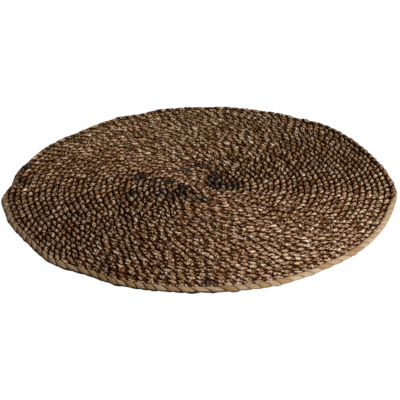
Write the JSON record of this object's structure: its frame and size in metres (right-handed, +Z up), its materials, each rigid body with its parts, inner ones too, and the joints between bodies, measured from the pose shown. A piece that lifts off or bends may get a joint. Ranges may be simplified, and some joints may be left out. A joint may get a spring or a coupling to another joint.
{
  "type": "round seagrass placemat",
  "caption": "Flat round placemat of twisted seagrass rope wound in a spiral, stained dark, edged with a turn of plain rope.",
  "frame": {"origin": "on the surface that the mat lies on, below the middle of its outline", "axes": "+Z up through the mat's thickness, +X to the right and +Y away from the camera of the picture"},
  "size_m": [0.3864, 0.3804, 0.0073],
  "materials": {
    "stained_seagrass": "dark brown stain on twisted seagrass, slightly shiny strands, black grooves",
    "plain_seagrass": "unstained seagrass, golden tan, dry and fibrous"
  },
  "bodies": {
    "root": {"coil": "stained_seagrass", "rim_rope": "plain_seagrass"}
  },
  "joints": []
}
